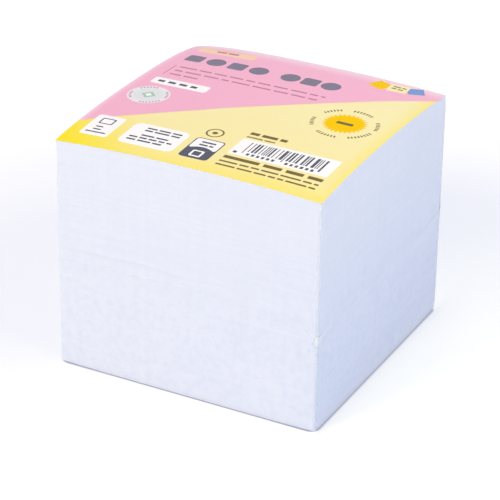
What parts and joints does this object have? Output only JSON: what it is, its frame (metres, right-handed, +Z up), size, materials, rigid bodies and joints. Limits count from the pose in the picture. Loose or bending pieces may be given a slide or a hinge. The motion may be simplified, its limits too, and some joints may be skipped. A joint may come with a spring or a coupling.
{
  "type": "memo cube refill block",
  "caption": "Square block of loose white note sheets under a printed pink and yellow cover sheet, shrink-wrapped in clear film.",
  "frame": {"origin": "on the table, under the middle of the block", "axes": "+Z up through the stack, +X to the right, and -Y out of the front"},
  "size_m": [0.0911, 0.0916, 0.0796],
  "materials": {
    "white_paper": "uncoated paper, cut edges",
    "printed_paper": "printed paper, satin",
    "clear_film": "clear glossy shrink film"
  },
  "bodies": {
    "root": {"sheet_stack": "white_paper", "cover_sheet": "printed_paper", "shrink_film": "clear_film"}
  },
  "joints": []
}
